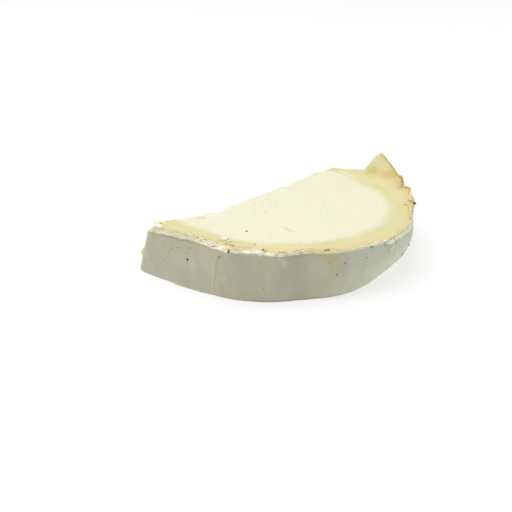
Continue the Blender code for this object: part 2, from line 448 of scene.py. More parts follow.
def arithmetic(tree, operation, first, second):
    """Adds, multiplies and so on."""
    node = tree.nodes.new("ShaderNodeMath")
    node.operation = operation
    feed(tree, node.inputs[0], first)
    feed(tree, node.inputs[1], second)
    return node.outputs["Value"]


def tint(tree, share, base, colour):
    """The base colour, giving way to another colour by a share."""
    node = tree.nodes.new("ShaderNodeMix")
    node.data_type = "RGBA"
    feed(tree, node.inputs["Factor"], share)
    feed(tree, node.inputs[6], base)
    feed(tree, node.inputs[7], colour)
    return node.outputs[2]


def stained(tree, colour, stains):
    """The colour, giving way in turn to others by the mesh's own values; stains as (name, colour)."""
    for name, paint in stains:
        colour = tint(tree, attribute(tree, name), colour, paint)
    return colour


def blotched(tree, colour, noise, low, high, share, paint):
    """The colour, giving way to another by up to a share as the noise goes from low to high."""
    return tint(tree, between(tree, noise, low, high, 0.0, share), colour, paint)


def colour_scale(tree, value, stops):
    """A scale of colours, each at its place from 0 to 1."""
    node = tree.nodes.new("ShaderNodeValToRGB")
    scale = node.color_ramp
    scale.elements[0].position, scale.elements[0].color = stops[0][0], (*stops[0][1], 1.0)
    scale.elements[1].position, scale.elements[1].color = stops[-1][0], (*stops[-1][1], 1.0)
    for position, colour in stops[1:-1]:
        scale.elements.new(position).color = (*colour, 1.0)
    feed(tree, node.inputs["Fac"], value)
    return node.outputs["Color"]


def relief(tree, shader, height, depth):
    """Bumps on the shader's surface, depth millimetres from low to high."""
    node = tree.nodes.new("ShaderNodeBump")
    node.inputs["Distance"].default_value = depth * MM
    feed(tree, node.inputs["Height"], height)
    tree.links.new(node.outputs["Normal"], shader.inputs["Normal"])


# %% [markdown]
# ## The paste's finish
# A surface-ripened cheese softens from the outside in. The middle stays chalky and ivory; the creamline under
# the rind turns straw yellow, and right at the rind it dries to a tan edge. The mesh carries how far out from
# the creamline's start each point lies, and a colour scale turns that into ivory and straw; up the standing
# corner that value is pulled back towards ivory as painted light. Wet nicks are olive, and the fold at the
# corner's root is olive and tan, partly as painted shade. Pits are a little darker by their depth, as painted
# shade, and the brown at the lip's inner edge is partly painted shade of the crack. A touch of subsurface light
# keeps it from looking like plaster.

# %% The paste's finish
IVORY = (0.85, 0.838, 0.63)
OLIVE_STRAW = (0.732, 0.685, 0.352)
STRAW = (0.765, 0.69, 0.352)
DEEP_STRAW = (0.775, 0.665, 0.335)
TAN = (0.73, 0.54, 0.21)
BROWN = (0.30, 0.17, 0.05)
WET_OLIVE_AND_FOLD_SHADE = (0.66, 0.61, 0.20)
PIT_SHADE_OLIVE = (0.55, 0.50, 0.24)
PALE_CLOUD = (0.90, 0.88, 0.74)
DUST = (0.62, 0.56, 0.36)
# Along the scale, 0 is 4 mm inside the creamline's start and 1 is 10 mm outside it
RIPENING = (
    (0.00, IVORY),
    (0.20, IVORY),
    (0.33, (0.79, 0.75, 0.46)),
    (0.43, OLIVE_STRAW),
    (0.62, STRAW),
    (0.88, DEEP_STRAW),
    (1.00, (0.778, 0.62, 0.31)),
)
PASTE_SURFACE = {
    "Roughness": 0.48,
    "Specular IOR Level": 0.35,
    "Subsurface Weight": 0.15,
    "Subsurface Radius": (1.0, 0.8, 0.4),
    "Subsurface Scale": 1.5 * MM,
}


def paste_material():
    """Ivory to straw by ripeness, paler up the horn as painted light, tan and brown at the rind with painted
    shade in the brown, olive in wet nicks and in the fold with painted shade, darker in pits as painted shade.
    """
    material, tree, shader = blank_material("cut_paste", PASTE_SURFACE)
    cloud = mottle(tree, 5.0)
    speckle = mottle(tree, 0.8, 5.0)
    shift = between(tree, cloud, 0.3, 0.7, -0.03, 0.03)
    colour = colour_scale(tree, arithmetic(tree, "ADD", attribute(tree, "ripe_and_horn_light"), shift), RIPENING)
    colour = blotched(tree, colour, mottle(tree, 9.0, 2.0), 0.42, 0.62, 0.10, PALE_CLOUD)
    colour = stained(tree, colour, (("tan", TAN), ("olive", WET_OLIVE_AND_FOLD_SHADE)))
    patchy = between(tree, speckle, 0.36, 0.56, 0.5, 1.0)
    colour = tint(tree, arithmetic(tree, "MULTIPLY", attribute(tree, "brown"), patchy), colour, BROWN)
    colour = stained(tree, colour, (("pit", PIT_SHADE_OLIVE),))
    colour = blotched(tree, colour, speckle, 0.35, 0.65, 0.07, DUST)
    tree.links.new(colour, shader.inputs["Base Color"])
    grainy = arithmetic(tree, "ADD", mottle(tree, 0.45, 6.0), arithmetic(tree, "MULTIPLY", cloud, 0.6))
    relief(tree, shader, grainy, 0.10)
    return material


# %% [markdown]
# ## Where the rind's lip meets the paste
# The knife dragged the soft rind over the cut edge, so it ends in a ragged lip. At the left end the lip is
# folded over and three or four millimetres wide; elsewhere it is thin. The paste sinks away under it and
# leaves a crack, which both pieces darken with painted shade. Both pieces read the same width, so the crack
# follows the lip everywhere.

# %% The lip's width and height
LIP_WIDTH = 1.2
LIP_FOLDS = (
    (174.0, 28.0, 2.1),
    (200.0, 16.0, 3.0),
    (210.8, 4.6, 1.3),
    (226.5, 3.0, -0.5),
    (234.0, 7.0, -0.5),
    (266.0, 18.0, -0.5),
    (340.0, 24.0, -0.4),
)
LIP_RAG = 0.28
LEAST_LIP = 0.6
LIP_HEIGHT = 0.4
LIP_WAVES = ((2.6, 0.24, 31), (0.9, 0.12, 32))
SHOULDERS = (  # where the rind's top edge has slumped
    (163.0, 9.0, 0.8),
    (176.0, 18.0, 0.4),
    (266.5, 6.0, 0.4),
    (288.0, 24.0, 1.2),
    (330.0, 22.0, 0.8),
)
SHOULDER_RAG = 0.25
SHOULDER_WAVES = 0.10
LIP_GAPS = (  # where the lip is worn away or pressed down
    (8.0, 20.0, 1.0),
    (198.0, 16.0, 0.65),
    (208.0, 8.0, 0.4),
    (221.0, 6.0, 0.4),
    (236.0, 14.0, 0.7),
    (251.0, 9.0, 0.6),
    (268.0, 16.0, 0.5),
    (316.0, 26.0, 0.8),
    (344.0, 18.0, 0.8),
)


def rough_along(angle, size, seed):
    """Rough noise that runs along the arc."""
    arc = arc_length(angle)
    return crumble(arc, 0.0 * arc, 0.0 * arc, size, seed)


def lip_reach(angle):
    """How far in from the side the lip ends: its width and a ragged edge."""
    return np.maximum(LIP_WIDTH + swell(angle, LIP_FOLDS) + LIP_RAG * rough_along(angle, 1.9, 21), LEAST_LIP)


def shoulder_drop(angle):
    """How far the rind's top edge has slumped below the cut face at its outside."""
    rag = rough_along(angle, 2.4, 22)
    return swell(angle, SHOULDERS) * (1.0 + SHOULDER_RAG * rag) + SHOULDER_WAVES * (1.0 + rag)


# Streaks along the lip's inner edge, brown and partly painted shade of the crack, as (start, end, width,
# strength); ends as (angle, radius)
BROWN_STREAKS = (
    ((188.0, 41.2), (190.4, 40.9), 0.7, 0.6),
    ((190.4, 40.9), (194.5, 39.6), 0.8, 0.9),
    ((194.5, 37.2), (199.0, 37.7), 0.9, 0.4),
    ((198.7, 39.1), (200.6, 39.2), 0.7, 0.7),
    ((200.6, 39.2), (204.0, 40.6), 0.7, 0.6),
    ((204.7, 40.3), (206.9, 39.4), 0.8, 0.6),
    ((206.9, 39.4), (209.5, 39.5), 0.8, 0.6),
    ((222.0, 41.2), (224.0, 41.2), 1.0, 0.8),
    ((228.0, 41.0), (231.8, 40.4), 1.2, 0.7),
    ((234.5, 39.8), (236.5, 40.3), 0.6, 0.4),
    ((242.0, 41.6), (243.9, 41.4), 0.6, 0.7),
    ((243.9, 41.4), (244.9, 42.8), 0.6, 0.5),
    ((244.9, 42.8), (246.5, 42.4), 0.6, 0.6),
    ((246.5, 42.4), (247.7, 43.4), 0.6, 0.5),
)
GOLD_STREAKS = (
    ((194.2, 37.2), (200.2, 37.6), 1.8, 0.7),
    ((202.0, 41.5), (202.6, 44.2), 1.8, 1.0),
    ((215.0, 40.2), (216.8, 40.2), 1.5, 0.8),
    ((219.5, 41.3), (221.0, 41.3), 1.4, 0.7),
    ((222.5, 41.5), (226.0, 41.6), 1.7, 0.9),
    ((231.8, 39.8), (233.5, 40.0), 1.3, 0.5),
    ((233.5, 40.6), (240.0, 42.0), 1.7, 0.9),
    ((240.0, 42.4), (247.0, 43.5), 1.2, 0.6),
    ((247.7, 43.4), (250.4, 42.9), 0.8, 0.6),
    ((250.4, 42.9), (253.1, 44.0), 0.9, 0.7),
)


def on_arc(*ends):
    """The ends of a mark, given as (angle, distance), with the angle turned into millimetres of arc."""
    return [(float(arc_length(angle)), distance) for angle, distance in ends]


def strokes(marks, angle, across, join=np.maximum):
    """Soft strokes, each with its ends, width and strength, joined into one value by maximum or sum."""
    total = np.zeros_like(angle + across)
    for start, end, width, strength in marks:
        total = join(total, strength * near_line(arc_length(angle), across, *on_arc(start, end), width))
    return total


def streaked(x, y, streaks):
    """How much of a streak lies at each point, from 0 to 1."""
    return strokes(streaks, angle_of(x, y), np.hypot(x, y))


sample_angles = np.array([170.0, 200.0, 240.0, 270.0, 300.0])
print("lip width at", sample_angles, "degrees:", lip_reach(sample_angles).round(2))

# %% [markdown]
# ## The paste
# The paste is one closed body: rings of points run out from a point in the middle of the cut face, over the
# rim, down the side and in again underneath. Each ring knows its distance from the rim, so pits, the knife's
# drag and the crumbly break are added where they belong. It could be sculpted, but formulas keep the cut face
# flat between its flaws, as a real cut is.

# %% The marks on the cut face
# Nicks and cracks, as (start, end, width, depth, how olive), in plan
NICKS = (
    ((-14.2, -15.8), (-15.2, -19.2), 0.75, 0.45, 0.75),
    ((-8.5, -42.3), (-9.6, -44.3), 0.4, 0.2, 0.5),
    ((-7.9, -42.4), (-9.1, -44.3), 0.4, 0.2, 0.5),
    ((-0.4, -44.2), (0.3, -45.5), 0.4, 0.25, 0.6),
    ((-24.8, 10.2), (-24.2, 7.2), 0.7, 0.4, 0.8),
    ((-26.0, 9.4), (-22.8, 8.4), 0.6, 0.3, 0.6),
    ((37.3, 6.5), (36.1, 2.1), 0.8, 0.35, 0.7),
    ((36.1, 2.1), (36.0, -1.3), 0.8, 0.25, 0.5),
    ((36.0, -1.3), (34.8, -5.0), 1.2, 0.10, 0.3),
    ((32.4, -17.8), (33.2, -13.9), 2.2, 0.12, 0.55),
)
PIT_CLUSTERS = (
    ((-2.5, -3.5), (5.0, 4.0), 26, 0.42),
    ((0.0, -14.0), (20.0, 12.0), 44, 0.30),
    ((-20.0, -5.0), (10.0, 8.0), 14, 0.26),
)
DRAG_ANGLE = 35.0  # the knife's marks run this way
DRAG_DEPTH = 0.035
DRAG_STRETCH = 10.0
PITS_OUT, PITS_BACK = 35.0, 8.0  # no pits farther from the centre or farther back than this


def scattered_pits():
    """Pits round the middle of each cluster: x, y, radius and depth, by a seeded draw."""
    draw = np.random.default_rng(41)
    pits = []
    for (x, y), (spread_x, spread_y), count, radius in PIT_CLUSTERS:
        spots = draw.normal(size=(count, 2)) * (spread_x, spread_y) + (x, y)
        sizes = radius * draw.uniform(0.5, 1.3, count)
        depths = draw.uniform(0.10, 0.42, count)
        pits.append(np.column_stack([spots, sizes, depths]))
    pits = np.concatenate(pits)
    return pits[(np.hypot(pits[:, 0], pits[:, 1]) < PITS_OUT) & (pits[:, 1] < PITS_BACK)]


def face_marks(x, y):
    """Depth of the flaws in the cut face at each point, and how dark, as painted shade by depth, and how olive
    they are.
    """
    depth, dark, olive = np.zeros_like(x), np.zeros_like(x), np.zeros_like(x)
    for pit_x, pit_y, radius, deep in scattered_pits():
        share = np.exp(-((x - pit_x) ** 2 + (y - pit_y) ** 2) / (2.0 * (0.6 * radius) ** 2))
        depth += deep * share
        # Painted shade: a pit is darker the deeper it is.
        dark = np.maximum(dark, share * deep * 1.3)
    for start, end, width, deep, green in NICKS:
        share = near_line(x, y, start, end, width)
        depth += deep * share
        olive = np.maximum(olive, green * share)
    return depth, dark, olive


def knife_drag(x, y):
    """Faint ridges along the knife's way: grain stretched in that direction."""
    along = distance_towards(x, y, DRAG_ANGLE)
    across = distance_towards(x, y, DRAG_ANGLE + 90.0)
    return DRAG_DEPTH * crumble(along / DRAG_STRETCH, across, 0.0 * x, 0.7, 45)


print("pits in the cut face:", len(scattered_pits()))

# %% The paste's rings
COLUMNS = 700
PASTE_INSET = 1.0  # the paste's side lies this far inside the rind's outside
FACE_INSET = 4.4
BREAK_EDGE = 0.2
SINK = 0.95
RIGHT_SINK = ((300.0, 52.0, 0.7), (350.0, 30.0, 0.8))  # how much less the paste sinks there
UPPER_RINGS, RIM_RINGS, SIDE_RINGS, LOWER_RINGS = 70, 18, 32, 12
BREAK_CRAGS = ((7.5, 0.75, 11), (3.6, 0.38, 12))
BREAK_GRIT = (1.5, 0.22, 13)
BREAK_EDGE_CRAG = (6.0, 0.38, 8)
BREAK_EDGE_WIDTH = 2.5
EDGE_WEAR_WIDTH = 0.9
FACE_SWELLINGS = (13.0, 0.10, 16)


def even_turns(columns):
    """Turns round the pole that space the columns of the mesh evenly along the outline."""
    fine = np.linspace(0.0, 2.0 * math.pi, 4001)
    x, y = place(fine, outline(fine, np.full_like(fine, 0.9))[0])
    length = np.concatenate([[0.0], np.cumsum(np.hypot(np.diff(x), np.diff(y)))])
    return np.interp(np.arange(columns) / columns * length[-1], length, fine)


def paste_face(turn, reach, rind, angle, inset):
    """The cut face at an inset from the rim: flat, flawed, sinking under the lip and chipped at the break."""
    x, y = place(turn, reach - inset)
    depth, dark, olive = face_marks(x, y)
    sink = SINK * rind * ease((lip_reach(angle) + 0.55 - inset) / 0.85) * (1.0 - swell(angle, RIGHT_SINK))
    crumbs = swell(angle, RIM_RISES) * ease(1.0 - inset / CRUMB_REACH)
    chips = bumps(x, y, 0.0 * x, *BREAK_EDGE_CRAG) + 0.3 * crumble(x, y, 0.0 * x, 1.3, 15)
    chips = chips * ease(1.0 - inset / BREAK_EDGE_WIDTH) - EDGE_WEAR * ease(1.0 - inset / EDGE_WEAR_WIDTH)
    swellings = bumps(x, y, 0.0 * x, *FACE_SWELLINGS) + 0.045 * crumble(x, y, 0.0 * x, 1.4, 17)
    fold = FOLD_DEPTH * horn_fold(x, y)
    z = top_height(x, y) + swellings + knife_drag(x, y) - depth - sink - fold
    return x, y, z + rind * crumbs + (1.0 - rind) * chips, dark, olive


def paste_upper(turn):
    """Rings from the pole to the rim; the last ones crowd where the paste goes under the lip."""
    reach, rind, angle = outline(turn, np.ones_like(turn))
    share = np.linspace(0.02, 1.0, UPPER_RINGS)[:, None]
    inward = reach - share * (reach - FACE_INSET)
    edge = BREAK_EDGE + (PASTE_INSET - BREAK_EDGE) * rind
    step = np.linspace(0.0, 1.0, RIM_RINGS + 1)[1:, None]
    inset = np.concatenate([inward, FACE_INSET + (edge - FACE_INSET) * step])
    return paste_face(*(np.broadcast_to(value, inset.shape) for value in (turn, reach, rind, angle)), inset)


def paste_side(turn, rim_z):
    """Rings down the side: smooth and hidden behind the rind, crumbly on the break."""
    height = np.linspace(0.985, 0.03, SIDE_RINGS)[:, None] * np.ones_like(turn)
    turn = np.broadcast_to(turn, height.shape)
    reach, rind, _ = outline(turn, height)
    x, y = place(turn, reach - PASTE_INSET * rind)
    low = under_height(x, y)
    z = low + (rim_z - low) * height
    crags = sum(bumps(x, y, z, *crag) for crag in BREAK_CRAGS)
    size, tall, seed = BREAK_GRIT
    push = (1.0 - rind) * (crags + tall * crumble(x, y, z, size, seed, 4)) * ease(20.0 * (1.0 - height))
    return *pushed(x, y, turn, push), z


def paste_lower(turn):
    """Rings in along the lower face to its middle."""
    reach, rind, _ = outline(turn, np.zeros_like(turn))
    share = np.linspace(0.985, 0.02, LOWER_RINGS)[:, None]
    x, y = place(turn, share * (reach - PASTE_INSET * rind))
    return x, y, under_height(x, y)


# %% [markdown]
# ### How ripe, how tan, how olive, with painted light and shade
# The creamline is about nine millimetres wide all round, a little more at the left and less in front. The
# values below are worked out for each point of the body, on the cut faces and the break alike, so the ring of
# straw colour runs through the whole slice.

# %% The paste's colouring
CREAM_RADIUS = 34.3
# The olive and tan along the fold at the horn's root are partly painted shade at the foot of the standing
# corner.
FOLD_TAN = ((333.5, 13.0, 1.8), (342.0, 7.0, 0.7))
FOLD_OLIVE = ((351.0, 8.0, 1.6),)
CREAM_SWELLS = (
    (277.0, 45.0, 2.0),
    (342.0, 22.0, -1.2),
    (0.0, 17.0, 3.0),
    (205.0, 30.0, -0.5),
    (178.0, 26.0, -1.8),
)
TAN_PLACES = (
    (180.0, 30.0, 0.80),
    (200.0, 16.0, 0.35),
    (222.0, 14.0, 0.40),
    (256.0, 9.0, 0.50),
    (310.0, 40.0, 0.35),
    (333.0, 8.0, 0.60),
    (338.0, 16.0, 0.70),
)
TAN_WIDTH = 4.2
BREAK_TAN, BREAK_RIPE = 0.25, 0.72  # how much of the tan edge shows on the break, and how ripe it gets there
# Brown right at the lip's inner edge: partly the paste's own colour, partly painted shade of the crack under
# the lip.
BROWN_PLACES = ((226.0, 20.0, 0.5), (255.0, 8.0, 0.3))


def ripeness(x, y, z):
    """Millimetres outside the creamline's start, on a scale where 0 is 4 inside it and 1 is 10 outside it."""
    angle = angle_of(x, y)
    height = np.clip(z / THICKNESS, 0.0, 1.0)
    flared = np.hypot(x, y) + side_radius(angle, np.ones_like(height)) - side_radius(angle, height)
    start = CREAM_RADIUS + swell(angle, CREAM_SWELLS) + 0.55 * grain(x, y, z, 6.0, 51)
    return np.clip((flared - start + 4.0) / 14.0, 0.0, 1.0)


def paste_colouring(x, y, z, inset, rind, angle, dark, olive):
    """The values that the paste's material reads, for every point of the body."""
    fold = horn_fold(x, y)
    past_lip = inset - lip_reach(angle)
    edge = ease(1.0 - past_lip / TAN_WIDTH) * rind
    tan = edge * swell(angle, TAN_PLACES) * (0.8 + 0.35 * grain(x, y, z, 2.2, 52))
    tan = np.maximum(np.maximum(tan, swell(angle, FOLD_TAN) * fold), streaked(x, y, GOLD_STREAKS))
    brown = ease(1.0 - past_lip / 0.7) * rind * swell(angle, BROWN_PLACES)
    brown = np.maximum(brown, streaked(x, y, BROWN_STREAKS))
    # Olive from the wet nicks, and along the fold, where it is partly painted shade.
    wet_and_fold_shade = np.maximum(olive, swell(angle, FOLD_OLIVE) * fold)
    # Painted light: up the standing corner the paste is drawn back towards ivory, where its face turns to the
    # light.
    ripe_and_horn_light = ripeness(x, y, z) - 0.48 * ease((horn_rise(x, y) - 0.5) / 0.3)
    return {"ripe_and_horn_light": ripe_and_horn_light, "tan": np.clip(tan, 0.0, 1.0), "brown": np.clip(brown, 0.0, 1.0),
            "olive": np.clip(wet_and_fold_shade, 0.0, 1.0), "pit": np.clip(dark, 0.0, 0.6)}


# %% Build the paste
def paste_points(turn):
    """All rings stacked, and the values that the material reads at each point."""
    *face, dark, olive = paste_upper(turn)
    parts = zip(face, paste_side(turn, face[2][-1]), paste_lower(turn))
    x, y, z = (np.vstack(rings) for rings in parts)
    on_face = (np.arange(len(x)) < len(dark))[:, None]
    unmarked = np.zeros((len(x) - len(dark), x.shape[1]))
    marks = (np.vstack([mark, unmarked]) for mark in (dark, olive))
    reach, rind, angle = (np.broadcast_to(value, x.shape) for value in outline(turn, np.ones_like(turn)))
    inset = reach - np.hypot(x - POLE[0], y - POLE[1])
    inset = np.where(on_face, inset, np.maximum(inset, 0.0) + 0.6)
    colouring = paste_colouring(x, y, z, inset, rind, angle, *marks)
    for name in ("tan", "brown"):
        colouring[name] = colouring[name] * np.where(on_face, 1.0, BREAK_TAN)
    colouring["ripe_and_horn_light"] = np.where(on_face, colouring["ripe_and_horn_light"], np.minimum(colouring["ripe_and_horn_light"], BREAK_RIPE))
    return x, y, z, colouring


def build_paste():
    """The closed body: rings between a pole on the cut face and one underneath."""
    turn = even_turns(COLUMNS)
    x, y, z, colouring = paste_points(turn)
    rings = len(x)
    points = np.stack([x, y, z], axis=-1).reshape(-1, 3)
    poles = np.array([(*POLE, z[0].mean()), (*POLE, 0.0)])
    points = np.vstack([points, poles])
    last = rings * COLUMNS
    faces = grid_quads(rings, COLUMNS, wrap=True).tolist()
    faces += pole_fans(last, COLUMNS).tolist()
    values = {name: np.append(value.ravel(), (value[0].mean(), value[-1].mean()))
              for name, value in colouring.items()}
    piece = make_piece("paste", points, faces, values, paste_material())
    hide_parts("cheese_slice")


build_paste()

# %% [markdown]
# ## The rind's finish
# The rind is a dry felt of white mould, warm grey on the wall, where the grey is partly painted shade, with
# faint upright streaks from the mould it drained in. It is brightest on the thin, freshly cut lip, whose white
# is partly its own and partly painted light, and it is stained in places. A little sheen stands for the felt.

# %% The rind's finish
# BLOOM, the wall's warm grey, is the rind's colour darkened by painted shade; LIP_WHITE is the same rind with
# painted light on the lip.
BLOOM = (0.56, 0.55, 0.405)
# COOL_BLOOM is greener than BLOOM and also lighter, as painted light on the right end of the wall.
COOL_BLOOM = (0.69, 0.74, 0.565)
LIP_WHITE = (0.92, 0.90, 0.73)
LIP_CREAM = (0.71, 0.63, 0.40)
# COOL_LIP is the lip at the right: greener, and lighter as painted light on the lip there.
COOL_LIP = (0.91, 0.95, 0.78)
# GREENISH_CREAM darkens the folded band on the lip: partly its own tint, partly painted shade.
GREENISH_CREAM = (0.66, 0.63, 0.41)
EDGE_STRAW = (0.77, 0.67, 0.37)
STAIN = (0.60, 0.51, 0.24)
# This dark brown is painted shade in the cracks, the cuts, under the ribbons, along the lip's outer edge and at
# the foot, and the colour of the brown streaks on the lip.
SHADE_AND_STREAK_BROWN = (0.30, 0.22, 0.10)
STREAK_GREY = (0.47, 0.445, 0.335)
CLOUD_GREY = (0.64, 0.65, 0.52)
FELT_GREY = (0.40, 0.38, 0.29)
FLECK = (0.42, 0.36, 0.26)
RIND_SURFACE = {"Roughness": 0.85, "Specular IOR Level": 0.15, "Sheen Weight": 0.15, "Sheen Roughness": 0.6}


def rind_material():
    """Warm grey bloom, darkened by painted shade; greener to the right and lighter there as painted light;
    whiter on the lip, partly painted light; streaks, stains, tiny dark flecks, and painted shade in the cracks,
    the folded band and at the foot.
    """
    material, tree, shader = blank_material("bloomy_rind", RIND_SURFACE)
    streaks = mottle(tree, 2.4, 3.0, (1.0, 1.0, 0.18))
    cloud = mottle(tree, 6.0, 4.0)
    felt = mottle(tree, 0.35, 5.0)
    colour = stained(tree, BLOOM, (("cool", COOL_BLOOM),))
    colour = blotched(tree, colour, streaks, 0.35, 0.68, 0.28, STREAK_GREY)
    colour = blotched(tree, colour, cloud, 0.42, 0.66, 0.26, CLOUD_GREY)
    lip = blotched(tree, LIP_WHITE, mottle(tree, 2.2, 3.0), 0.40, 0.60, 0.90, LIP_CREAM)
    lip = tint(tree, arithmetic(tree, "MULTIPLY", attribute(tree, "cool"), 0.7), lip, COOL_LIP)
    colour = stained(tree, colour, (
        ("stain", STAIN), ("pale", lip), ("trough", GREENISH_CREAM), ("white", LIP_WHITE),
        ("straw", EDGE_STRAW), ("tan", TAN), ("shade_and_streaks", SHADE_AND_STREAK_BROWN),
    ))
    worn = arithmetic(tree, "MULTIPLY", between(tree, felt, 0.40, 0.62, 0.0, 0.16), attribute(tree, "wall"))
    colour = tint(tree, worn, colour, FELT_GREY)
    colour = blotched(tree, colour, mottle(tree, 0.9, 2.0), 0.70, 0.76, 0.45, FLECK)
    tree.links.new(colour, shader.inputs["Base Color"])
    relief(tree, shader, arithmetic(tree, "ADD", felt, streaks), 0.09)
    return material


# %% [markdown]
# ## The rind
# The rind is a thin skin. Its section is a closed loop: up the outside, over the lip, down its hidden inner
# face and back under the foot. The loop is carried along the arc from one end of the break to the other. The
# ends follow the break at every height, so the torn flap at the lower left stays part of it.

# %% Relief of the rind's face
RIPPLE = (17.0, 0.28, 5)
DIMPLE = (5.5, 0.06, 61)
CREASE_ANGLE = 192.3
CREASE_SLANT = 6.0
CREASE_WIDTH = 1.1
CREASE_HEIGHT = 0.45
RIBS = 0.02  # fine level lines near the left end
RIB_PITCH = 0.62
# Slanting cuts over the lip, as (start, end), in degrees along the arc and millimetres in from the edge
CUTS = (
    ((176.5, 2.3), (178.6, 2.0)),
    ((180.4, 2.2), (183.6, 1.8)),
    ((257.7, -0.1), (258.4, 1.1)),
    ((258.3, 0.0), (259.1, 1.1)),
    ((263.9, 1.0), (264.6, -0.4)),
    ((269.2, 1.0), (270.2, -1.0)),
    ((279.9, -0.8), (280.5, -1.6)),
    ((282.6, -0.9), (283.0, -1.5)),
)
CUT_DEPTH = 0.3
CUT_WIDTH = 0.26
SCRATCH = ((199.0, 6.1), (202.2, 7.6))
SCRATCH_HEIGHT, SCRATCH_WIDTH = 0.18, 0.22
FELT = (1.3, 62)
FELT_HEIGHT = 0.035


def cut_share(angle, inward):
    """1 in the middle of a cut, 0 away from all; inward from the edge is positive, down from it negative."""
    return strokes([(*cut, CUT_WIDTH, 1.0) for cut in CUTS], angle, inward)


def rind_push(x, y, z, angle, height):
    """How far the rind's face stands out: ripples, the crease, fine lines, felt and a scratch."""
    crease = CREASE_HEIGHT * hump(angle, CREASE_ANGLE + CREASE_SLANT * height, CREASE_WIDTH)
    crease = crease * ease(height / 0.15) * ease((0.95 - height) / 0.2)
    ribs = RIBS * np.sin(2.0 * math.pi * z / RIB_PITCH) * hump(angle, 180.0, 24.0)
    felt = FELT_HEIGHT * crumble(x, y, z, *FELT)
    scratch = SCRATCH_HEIGHT * near_line(arc_length(angle), z, *on_arc(*SCRATCH), SCRATCH_WIDTH)
    push = bumps(x, y, z, *RIPPLE) + bumps(x, y, z, *DIMPLE)
    return push + crease + ribs + felt + scratch


# %% The rind's ends
LEFT_SEARCH = (math.radians(105.0), math.radians(205.0))
RIGHT_SEARCH = (math.radians(395.0), math.radians(300.0))


def end_turn(height, search):
    """The turn where rind and break meet at each height, by halving the span between break and rind."""
    on_break, on_rind = (np.full_like(height, turn) for turn in search)
    for _ in range(30):
        middle = (on_break + on_rind) / 2.0
        to_rind, to_break, _ = two_sides(middle, height)
        rind = to_rind < to_break
        on_rind = np.where(rind, middle, on_rind)
        on_break = np.where(rind, on_break, middle)
    return (on_break + on_rind) / 2.0


for end_search in (LEFT_SEARCH, RIGHT_SEARCH):
    print("turn of an end, foot and rim:", np.degrees(end_turn(np.array([0.0, 1.0]), end_search)).round(1))

# %% The rind's section
ALONG = 1150
WALL_ROWS, LIP_ROWS, INNER_ROWS, FOOT_ROWS = 50, 20, 6, 3
INNER_INSET = 1.35
CREST, DIVE = 0.55, 0.84  # where the lip's slope ends and its inner edge starts, as shares of its width
FOLDED = ((175.0, 22.0, 1.0),)  # where the lip folds over: a sloping band with a ribbon inside it
FOLD_CREST, FOLD_DIVE = 0.78, 0.88
TROUGH_DEPTH, TROUGH_BELL = 0.22, (0.45, 0.17)
RIBBON_HEIGHT, RIBBON_WIDTH = 0.25, 0.08
RIBBONS = ((161.5, 5.0, 1.2), (184.0, 12.0, 1.2), (194.0, 8.0, 0.6))


def wall_heights(x, y, angle):
    """The foot and the top edge of the rind's outside."""
    return under_height(x, y), top_height(x, y) - EDGE_WEAR - shoulder_drop(angle)


def rind_wall(turn, height):
    """The outside, from foot to top edge."""
    reach, _, angle = outline(turn, height)
    x, y = place(turn, reach)
    low, high = wall_heights(x, y, angle)
    z = low + (high - low) * height
    push = rind_push(x, y, z, angle, height) - CUT_DEPTH * cut_share(angle, (height - 1.0) * THICKNESS)
    return *pushed(x, y, turn, push), z, angle


def lip_crest(x, y, angle, share):
    """How high the lip stands above the cut face: ragged along the arc, worn away in its gaps."""
    arc = arc_length(angle)
    ragged = 1.0 + sum(tall / LIP_HEIGHT * crumble(arc, share * 2.0, 0.0 * arc, size, seed)
                       for size, tall, seed in LIP_WAVES)
    return LIP_HEIGHT * ragged * (1.0 - swell(angle, LIP_GAPS))


def rind_lip(turn, share):
    """Over the lip: up its slope to the crest, in folded places a band and a ribbon, then into the crack."""
    reach, _, angle = outline(turn, np.ones_like(turn))
    x, y = place(turn, reach)
    _, outer_z = wall_heights(x, y, angle)
    outer_cut = CUT_DEPTH * cut_share(angle, 0.0 * share)
    push = (rind_push(x, y, outer_z, angle, np.ones_like(turn)) - outer_cut) * (1.0 - ease(share / 0.5))
    x, y = place(turn, reach + push - share * lip_reach(angle))
    fold = swell(angle, FOLDED)
    lip = lip_crest(x, y, angle, share)
    crest_z = top_height(x, y) + lip + swell(angle, RIM_RISES)
    rise = np.clip(share / (CREST + (FOLD_CREST - CREST) * fold), 0.0, 1.0) ** 0.85
    trough = TROUGH_DEPTH * fold * bell(share, *TROUGH_BELL)
    ribbon = RIBBON_HEIGHT * swell(angle, RIBBONS) * bell(share, FOLD_CREST, RIBBON_WIDTH)
    dive_start = DIVE + (FOLD_DIVE - DIVE) * fold
    dive = ease((share - dive_start) / (1.0 - dive_start))
    cut = CUT_DEPTH * cut_share(angle, share * lip_reach(angle))
    z = outer_z + (crest_z - outer_z) * rise - trough + ribbon - cut - (lip + SINK) * dive
    return x, y, z, angle


def rind_inner(turn, height, inset):
    """The hidden inner face, inside the paste."""
    reach, _, angle = outline(turn, height)
    x, y = place(turn, reach - inset)
    low, high = wall_heights(x, y, angle)
    return x, y, low + 0.3 + (high - SINK - 0.3 - low) * height, angle


